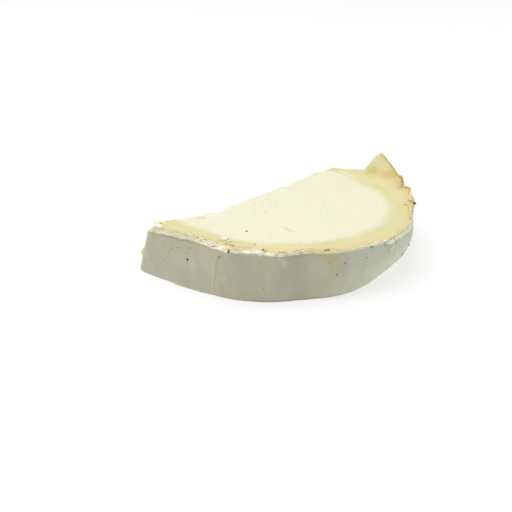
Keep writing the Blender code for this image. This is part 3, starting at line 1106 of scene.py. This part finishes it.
def rind_grid():
    """The section's rows, each from the left end to the right, and where on the section each lies."""
    along = np.linspace(0.0, 1.0, ALONG)[None, :]
    heights = np.linspace(0.0, 1.0, WALL_ROWS)
    shares = np.linspace(0.0, 1.0, LIP_ROWS + 1)[1:]
    inner = np.linspace(0.92, 0.06, INNER_ROWS)
    insets = np.linspace(1.0, 0.0, FOOT_ROWS + 1)[:-1] * INNER_INSET

    def turns(height):
        """Turns from end to end at each height."""
        left, right = end_turn(height, LEFT_SEARCH), end_turn(height, RIGHT_SEARCH)
        return left[:, None] + (right - left)[:, None] * along

    def spread(rows):
        """One value for each row, along the whole arc."""
        return rows[:, None] * np.ones_like(along)

    wall = rind_wall(turns(heights), spread(heights))
    lip = rind_lip(turns(np.ones_like(shares)), spread(shares))
    back = rind_inner(turns(inner), spread(inner), INNER_INSET)
    foot = rind_inner(turns(np.zeros_like(insets)), spread(np.zeros_like(insets)), spread(insets))
    row = np.concatenate([heights, 1.0 + shares, np.full(INNER_ROWS + FOOT_ROWS, 3.0)])
    return *(np.vstack(parts) for parts in zip(wall, lip, back, foot)), spread(row)


# %% [markdown]
# ### Stains and light places on the rind
# Rows of the section below 1 are the wall, from 1 to 2 the lip. A yellowish brown stain runs down from the
# lip near the middle, with fainter ones round it, though the faint one beside the crease is painted shade; the
# crease and the scratch are paler than the rest. Painted shade also darkens the cracks, the cuts, the folded
# band and the foot in front, and the right end is lighter as painted light.

# %% The rind's colouring
STAINS = (
    ((236.5, 14.3), (247.4, 13.8), 1.3, 0.80),
    ((238.8, 12.9), (244.3, 12.8), 1.6, 0.55),
    ((241.0, 11.4), (242.0, 10.6), 1.6, 0.28),
    ((242.0, 10.0), (242.8, 8.4), 2.0, 0.16),
    ((241.0, 14.0), (245.0, 6.0), 4.0, 0.08),
    ((237.0, 4.5), (245.0, 4.0), 2.8, 0.18),
    ((225.0, 12.8), (225.4, 9.1), 1.6, 0.14),
    ((216.5, 13.7), (219.5, 13.3), 1.3, 0.20),
    # The faint stroke at 194 degrees is painted shade: a dark strip beside the crease, where the wall dips.
    ((194.0, 14.0), (194.6, 7.0), 1.8, 0.12),
    ((169.3, 13.2), (167.6, 5.8), 2.4, 0.12),
    ((229.0, 8.0), (233.0, 12.0), 2.2, 0.10),
    ((186.0, 8.0), (189.0, 6.0), 1.8, 0.08),
    ((205.5, 1.5), (208.0, 1.2), 0.8, 0.35),
)
# From 224 to 266 degrees the rind turns greener, its own tint, and lighter, which is painted light.
COOL_START, COOL_END = 224.0, 266.0
COOL_PATCHES = (
    ((221.9, 14.1), (223.1, 12.6), 1.6, 0.8),
    ((248.6, 14.0), (245.6, 12.7), 0.5, 0.9),
    ((178.0, 9.0), (182.0, 8.0), 3.0, 0.35),
)
TAN_LIP = ((297.0, 12.0, 0.9), (311.0, 22.0, 0.8), (334.0, 22.0, 1.0), (352.0, 10.0, 0.9))
TAN_LIP_START = 0.80  # share of the side's height
FOOT_CREAM, FOOT_CREAM_PLACES = 0.5, ((172.0, 26.0, 1.0),)
# Painted shadow: a dark line at the foot of the front wall, where the rind meets the table.
CONTACT_SHADOW_HEIGHT, CONTACT_SHADOW_PLACES = 0.6, ((222.0, 32.0, 1.0),)
SHADOW_LINE = ((176.0, 24.0, 0.5), (230.0, 14.0, 0.3))
STRAW_LIP = ((240.0, 20.0, 0.7), (276.0, 17.0, 1.0))
LIP_START_RAISED = ((210.0, 16.0, 0.16), (262.0, 12.0, 0.1))


def rind_colouring(x, y, z, angle, row):
    """The values that the rind's material reads, for every point."""
    seen, low_wall = row < 2.5, row < 0.5  # rows beyond the lip are hidden inside the paste
    start = swell(angle, LIP_START_RAISED) + 0.05 * grain(arc_length(angle), 0.0 * z, 0.0 * z, 1.1, 73)
    start = np.maximum(start, 0.2 * start)
    lip = ease((row - 0.99 - start) / 0.04) * seen
    straw = swell(angle, STRAW_LIP) * ease((row - 1.25) / 0.2) * lip
    ribbon = np.clip(swell(angle, RIBBONS), 0.0, 1.0) * lip
    # The trough share darkens the folded band: partly its own tint, partly painted shade.
    trough = swell(angle, FOLDED) * ease((1.97 - 0.30 * ribbon - row) / 0.12) * lip
    white = 0.85 * ribbon * ease((row - 1.66) / 0.06)
    stain = strokes(STAINS, angle, z, np.add) * (0.8 + 0.5 * grain(x, y, z, 1.3, 71)) * (1.0 - lip)
    height = np.clip(row, 0.0, 1.0)
    crease = 0.35 * hump(angle, CREASE_ANGLE + CREASE_SLANT * height, 0.7) * ease((0.9 - height) / 0.2)
    scratch = 0.6 * near_line(arc_length(angle), z, *on_arc(*SCRATCH), 0.3)
    foot = 0.8 * ease((FOOT_CREAM - z) / FOOT_CREAM) * swell(angle, FOOT_CREAM_PLACES) * low_wall
    pale = np.maximum(np.maximum(lip, foot), np.maximum(crease, scratch))
    inward = np.where(row < 1.0, (row - 1.0) * THICKNESS, (row - 1.0) * lip_reach(angle))
    clean = np.clip(swell(angle, TAN_LIP + STRAW_LIP), 0.0, 1.0)
    # Painted shade: dark in the crack where the lip dives into the paste, in the slanting cuts, under each
    # ribbon and along the lip's outer edge; the brown streaks add their colour.
    crack_shade = ease((row - 1.88) / 0.1) * (1.0 - 0.95 * clean)
    shade_and_streaks = np.maximum(crack_shade, 0.65 * cut_share(angle, inward)) * seen
    shade_and_streaks = np.maximum(shade_and_streaks, streaked(x, y, BROWN_STREAKS) * lip)
    shade_and_streaks = np.maximum(shade_and_streaks, 0.35 * ribbon * bell(row, 1.64, 0.03))
    shade_and_streaks = np.maximum(shade_and_streaks, swell(angle, SHADOW_LINE) * ease(1.0 - np.abs(row - 0.975) / 0.03))
    # Painted shadow at the foot in front, where the rind rests on the table.
    contact_shadow = ease((CONTACT_SHADOW_HEIGHT - z) / CONTACT_SHADOW_HEIGHT) * swell(angle, CONTACT_SHADOW_PLACES) * low_wall
    # The cool share: greener to the right, and lighter there as painted light.
    unwrapped = np.where(angle < 90.0, angle + 360.0, angle)
    cool = ease((unwrapped - COOL_START) / (COOL_END - COOL_START))
    cool = cool + strokes(COOL_PATCHES, angle, z, np.add)
    spotty = 0.9 + 0.5 * grain(x, y, z, 1.7, 72)
    tan = np.clip(swell(angle, TAN_LIP) * spotty * ease((row - TAN_LIP_START) / 0.1), 0.0, 1.0)
    tan = np.maximum(tan, streaked(x, y, GOLD_STREAKS) * lip)
    return {"pale": pale, "trough": trough, "white": white, "straw": straw, "tan": tan, "wall": 1.0 - lip,
            "shade_and_streaks": np.maximum(shade_and_streaks, contact_shadow),
            "stain": np.clip(stain, 0.0, 1.0), "cool": np.clip(cool, 0.0, 1.0)}


# %% Build the rind
def build_rind():
    """The skin: a closed section carried along the arc, with a flat end at each side."""
    x, y, z, angle, row = rind_grid()
    rows = len(x)
    points = np.stack([x, y, z], axis=-1).transpose(1, 0, 2).reshape(-1, 3)
    colouring = {name: value.T for name, value in rind_colouring(x, y, z, angle, row).items()}
    faces = grid_quads(ALONG, rows, wrap=True).tolist()
    first = list(range(rows))
    last = [(ALONG - 1) * rows + number for number in reversed(first)]
    piece = make_piece("rind", points, faces + [first, last], colouring, rind_material())
    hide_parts("cheese_slice")


build_rind()

# %% [markdown]
# ## Crumbs, specks and flakes
# The knife left crumbs of paste along the rim and shavings of rind on the lip, and the rind carries small
# dark specks. Each is a ball of eighty faces, pushed in and out by noise, stretched to its size and
# turned. All of one kind are joined into one mesh. A tone from 0 to 1 goes along with each, and one colour
# scale serves them all, from nearly black over russet and tan to white.

# %% Balls pushed out of round
BALL_RINGS, BALL_COLUMNS = 7, 10
CRUMB_TONES = (
    (0.00, (0.035, 0.028, 0.012)),
    (0.15, (0.17, 0.15, 0.07)),
    (0.27, (0.20, 0.065, 0.02)),
    (0.42, (0.58, 0.30, 0.12)),
    (0.58, (0.77, 0.60, 0.31)),
    (0.78, (0.82, 0.73, 0.47)),
    (1.00, (0.93, 0.92, 0.86)),
)
CRUMB_SURFACE = {
    "Roughness": 0.6,
    "Specular IOR Level": 0.2,
    "Subsurface Radius": (1.0, 0.8, 0.5),
    "Subsurface Scale": 0.6 * MM,
}


def unit_ball(rings, columns):
    """Points of a ball of radius 1, ring by ring from the top with both poles last, and its faces."""
    polar = np.linspace(0.0, math.pi, rings + 2)[1:-1, None]
    around = np.arange(columns)[None, :] * 2.0 * math.pi / columns
    ball = np.stack([np.sin(polar) * np.cos(around), np.sin(polar) * np.sin(around),
                     np.cos(polar) + 0.0 * around], axis=-1).reshape(-1, 3)
    last = rings * columns
    points = np.vstack([ball, (0.0, 0.0, 1.0), (0.0, 0.0, -1.0)])
    return points, grid_quads(rings, columns, wrap=True), pole_fans(last, columns)


def turned(points, tilt, yaw):
    """Points tilted about their own y axis and then turned about the upright; one pair of degrees a lump."""
    tilt, yaw = np.radians(tilt)[:, None], np.radians(yaw)[:, None]
    x, y, z = points[..., 0], points[..., 1], points[..., 2]
    x, z = x * np.cos(tilt) + z * np.sin(tilt), z * np.cos(tilt) - x * np.sin(tilt)
    return np.stack([x * np.cos(yaw) - y * np.sin(yaw), x * np.sin(yaw) + y * np.cos(yaw), z], axis=-1)


def crumb_material(name):
    """A tone from the mesh picks the colour; noise makes it uneven and grainy."""
    material, tree, shader = blank_material(name, CRUMB_SURFACE)
    shift = between(tree, mottle(tree, 0.5), 0.3, 0.7, -0.05, 0.05)
    tone = arithmetic(tree, "ADD", attribute(tree, "tone"), shift)
    tree.links.new(colour_scale(tree, tone, CRUMB_TONES), shader.inputs["Base Color"])
    relief(tree, shader, mottle(tree, 0.25, 4.0), 0.05)
    tree.links.new(between(tree, tone, 0.3, 0.7, 0.0, 0.5), shader.inputs["Subsurface Weight"])
    return material


def make_lumps(name, places, sizes, tilt, yaw, tones, roughness, seed, slot):
    """Lumps in one mesh: radius 1 plus noise, stretched to length, width and height, turned and placed."""
    ball, quads, caps = unit_ball(BALL_RINGS, BALL_COLUMNS)
    number = np.arange(len(places))[:, None]
    uneven = crumble(*(1.3 * ball[None, :, axis] + 7.3 * number for axis in range(3)), 1.0, seed, 2)
    shaped = ball[None] * (1.0 + roughness * uneven)[..., None] * (sizes[:, None, :] / 2.0)
    points = turned(shaped, tilt, yaw) + places[:, None, :]
    offset = number[:, :, None] * len(ball)
    faces = (quads[None] + offset).reshape(-1, 4).tolist() + (caps[None] + offset).reshape(-1, 3).tolist()
    tone = {"tone": np.repeat(tones, len(ball))}
    make_piece(name, points.reshape(-1, 3), faces, tone, crumb_material(name + "_finish"))


# %% Places on the slice
def on_round(angle, radius):
    """The x and y at an angle and a distance from the round's centre."""
    return pushed(0.0, 0.0, np.radians(angle), radius)


def on_top(angle, radius, lift):
    """Points at a height above the cut face, by angle and distance from the round's centre."""
    x, y = on_round(angle, radius)
    return np.stack([x, y, top_height(x, y) + lift], axis=-1)


def on_rind(angle, height, lift):
    """Points that stand out from the rind's outside, by angle and share of the side's height."""
    x, y = on_round(angle, ROUND_RADIUS)
    turn = np.arctan2(y - POLE[1], x - POLE[0])
    x, y, z, _ = rind_wall(turn, height)
    return np.stack([*pushed(x, y, turn, lift), z], axis=-1)


# %% The crumbs on the rim and the cut face
# As (angle, distance from the centre, lift, length, width, height, tilt, yaw, tone)
CRUMBS = (
    (164.4, 42.2, 0.0, 3.2, 1.8, 0.6, 0.0, 70.0, 0.98),
    (160.4, 40.8, -0.2, 3.6, 2.4, 1.3, 6.0, 65.0, 0.90),
    (314.5, 42.7, 0.1, 2.4, 1.9, 0.9, 0.0, 40.0, 0.60),
    (317.4, 43.0, 0.0, 1.8, 1.4, 0.6, 0.0, 20.0, 0.62),
    (309.4, 43.2, 0.4, 1.2, 0.8, 0.7, 25.0, 130.0, 0.14),
    (307.6, 43.4, 0.6, 1.1, 0.4, 0.35, -25.0, -40.0, 0.14),
    (196.1, 35.7, 0.3, 2.4, 1.6, 0.8, 10.0, 100.0, 1.00),
    (198.4, 36.6, 0.2, 1.3, 1.0, 0.5, 0.0, 60.0, 0.97),
    (199.1, 38.8, 0.2, 1.9, 0.9, 0.6, 0.0, 100.0, 0.55),
    (200.4, 39.4, 0.2, 1.0, 0.8, 0.5, 0.0, 40.0, 0.74),
    (201.6, 39.6, 0.1, 1.6, 0.45, 0.4, 0.0, 110.0, 0.45),
    (215.6, 40.0, 0.0, 2.0, 1.5, 0.4, 0.0, 30.0, 0.56),
    (215.1, 39.9, 0.2, 0.9, 0.7, 0.45, 0.0, 30.0, 0.21),
    (240.8, 42.3, 0.2, 1.8, 0.9, 0.6, 0.0, 150.0, 0.42),
    (200.8, 25.9, 0.0, 0.7, 0.55, 0.3, 0.0, 0.0, 0.03),
    (210.5, 35.4, 0.0, 0.6, 0.45, 0.25, 0.0, 40.0, 0.18),
    (202.8, 44.5, -0.3, 1.7, 0.7, 1.2, 35.0, 202.0, 0.13),
    (214.3, 43.1, -0.5, 0.6, 1.9, 1.5, 15.0, 214.0, 0.86),
    (212.8, 42.9, -0.1, 0.7, 2.4, 0.9, 15.0, 210.0, 0.95),
    (293.8, 42.9, 0.2, 1.2, 0.9, 0.6, 0.0, 30.0, 0.80),
    (301.0, 43.0, 0.2, 1.5, 0.9, 0.6, 0.0, 35.0, 0.72),
)
FINE_CRUMBS = 6


def fine_crumbs(count):
    """Small crumbs strewn along the rim at the right, in the same columns as the others."""
    draw = np.random.default_rng(81)
    angle = draw.uniform(286.0, 337.0, count)
    radius = ROUND_RADIUS + swell(angle, RIM_SWELLS) - draw.uniform(0.5, 2.6, count)
    size = draw.uniform(0.35, 0.9, count)
    shape = size[:, None] * draw.uniform((0.8, 0.6, 0.5), (1.5, 1.0, 0.8), (count, 3))
    turns = draw.uniform((-20.0, 0.0), (20.0, 180.0), (count, 2))
    return np.column_stack([angle, radius, 0.25 * size + 0.1, shape, turns, draw.uniform(0.60, 0.74, count)])


crumbs = np.vstack([np.array(CRUMBS), fine_crumbs(FINE_CRUMBS)])
make_lumps("rim_crumbs", on_top(crumbs[:, 0], crumbs[:, 1], crumbs[:, 2]), crumbs[:, 3:6], crumbs[:, 6],
           crumbs[:, 7], crumbs[:, 8], 0.35, 82, "paste")

# %% The specks on the rind
# As (angle, share of the height, width, height, tone)
SPECKS = (
    (180.5, 0.595, 0.90, 0.72, 0.25),
    (181.6, 0.85, 0.40, 0.35, 0.20),
    (159.6, 0.28, 0.40, 0.35, 0.20),
    (173.6, 0.75, 0.40, 0.30, 0.20),
    (215.1, 0.31, 0.40, 0.35, 0.15),
    (243.6, 0.55, 0.45, 0.40, 0.08),
    (246.7, 0.77, 0.40, 0.35, 0.15),
    (240.8, 0.80, 0.35, 0.35, 0.20),
    (292.0, 0.34, 1.10, 0.90, 0.20),
    (286.5, 0.22, 0.90, 0.60, 0.24),
    (176.0, 0.80, 0.40, 0.35, 0.18),
    (185.9, 0.95, 0.40, 0.30, 0.18),
    (162.0, 0.39, 0.35, 0.30, 0.18),
    (169.6, 0.46, 0.40, 0.30, 0.25),
    (199.0, 0.87, 0.60, 0.40, 0.18),
    (256.1, 0.78, 0.35, 0.40, 0.30),
    (266.2, 0.80, 0.60, 0.35, 0.34),
)
FINE_SPECKS = 26


def fine_specks(count):
    """Tiny specks strewn over the rind, in the same columns."""
    draw = np.random.default_rng(83)
    width = draw.uniform(0.16, 0.32, count)
    return np.column_stack([draw.uniform(156.0, 330.0, count), draw.uniform(0.06, 0.95, count),
                            width, 0.8 * width, draw.uniform(0.2, 0.5, count)])


specks = np.vstack([np.array(SPECKS), fine_specks(FINE_SPECKS)])
speck_sizes = np.column_stack([0.45 * specks[:, 2], specks[:, 2], specks[:, 3]])
make_lumps("specks", on_rind(specks[:, 0], specks[:, 1], 0.0), speck_sizes, 0.0 * specks[:, 0], specks[:, 0],
           specks[:, 4], 0.2, 84, "rind")

# %% The shavings on the lip
FLAKE_STRETCHES = ((190.0, 214.0, 12), (221.0, 225.0, 4), (229.0, 234.0, 2), (256.0, 267.0, 4))
FLAKE_SLANT = 30.0  # degrees between a shaving and the lip's own direction


def flakes():
    """Slivers on the lip: place, size, tilt and yaw of each, by a seeded draw along each stretch."""
    draw = np.random.default_rng(85)
    angle = np.concatenate([draw.uniform(start, end, count) for start, end, count in FLAKE_STRETCHES])
    count = len(angle)
    radius = ROUND_RADIUS + swell(angle, RIM_SWELLS) - lip_reach(angle) * draw.uniform(0.25, 0.85, count)
    places = on_top(angle, radius, LIP_HEIGHT * draw.uniform(0.2, 0.9, count))
    sizes = draw.uniform((1.0, 0.35, 0.10), (2.6, 0.8, 0.22), (count, 3))
    yaw = angle + 90.0 + FLAKE_SLANT * draw.uniform(-0.4, 1.2, count)
    return places, sizes, draw.uniform(-14.0, 14.0, count), yaw, draw.uniform(0.86, 1.0, count)


make_lumps("rind_flakes", *flakes(), 0.25, 86, "rind")

# %% [markdown]
# ## The table, the light and the camera
# The slice lies on a plain light table under a broad soft light, high and a little behind it, so the rind that
# faces us is in soft shade and is lit mostly by the table; two weaker lights fill in from the left and the
# right. The camera looks down by twenty-two degrees through a long lens, which keeps both ends alike in size.

# %% The table and the light
FLOOR_HALF = 3.0
TABLE_DARK, TABLE_PALE = (0.35, 0.35, 0.35), (0.37, 0.37, 0.37)
TABLE_SURFACE = {
    "Roughness": 0.6,
    "Specular IOR Level": 0.1,
    "Emission Color": (1.0, 1.0, 1.0, 1.0),
    "Emission Strength": 0.65,
}
# As (name, place, size, watts), in metres; each lamp is aimed at the slice
LAMPS = (
    ("softbox", (-0.02, 0.21, 0.50), 0.8, 3.0),
    ("left_fill", (-0.22, 0.0, 0.50), 0.5, 1.15),
    ("side_fill", (0.5, -0.20, 0.22), 0.4, 0.9),
)
SKY_LIGHT = 0.2


def floor():
    """A plain light table, which glows a little so that shadows stay faint."""
    corners = np.array([(-1, -1, 0), (1, -1, 0), (1, 1, 0), (-1, 1, 0)]) * FLOOR_HALF
    mesh = bpy.data.meshes.new("table_top")
    mesh.from_pydata(corners.tolist(), [], [(0, 1, 2, 3)])
    material, tree, shader = blank_material("glowing_table", TABLE_SURFACE)
    cloud = colour_scale(tree, mottle(tree, 400.0), ((0.0, TABLE_DARK), (1.0, TABLE_PALE)))
    tree.links.new(cloud, shader.inputs["Base Color"])
    mesh.materials.append(material)
    add_object("table_top", mesh)


def aimed(name, data, spot, aim):
    """A light or camera at a spot, aimed at a point; both in metres."""
    item = add_object(name, data)
    item.location = spot
    item.rotation_euler = (Vector(aim) - Vector(spot)).to_track_quat("-Z", "Y").to_euler()
    return item


def sky(strength):
    """Even white light from all round."""
    world = bpy.data.worlds.new("studio")
    world.use_nodes = True
    background = world.node_tree.nodes["Background"]
    background.inputs["Color"].default_value = (1.0, 1.0, 1.0, 1.0)
    background.inputs["Strength"].default_value = strength
    bpy.context.scene.world = world


floor()
for label, spot, side, watts in LAMPS:
    light = bpy.data.lights.new(label, "AREA")
    light.energy = watts
    light.size = side
    aimed(label, light, spot, (0.0, 0.0, 0.0))
sky(SKY_LIGHT)
bpy.context.scene.view_settings.view_transform = "Standard"

# %% The camera
CAMERA_PLACE = (-0.3239, -0.2734, 0.1700)
CAMERA_AIM = (-0.00945, -0.0001, 0.0)
LENS = 101.25
SENSOR = 36.0


def camera():
    """The camera that gives the photograph's view."""
    data = bpy.data.cameras.new("camera")
    data.sensor_width = SENSOR
    data.lens = LENS
    data.clip_start = 0.01
    bpy.context.scene.camera = aimed("camera", data, CAMERA_PLACE, CAMERA_AIM)


camera()
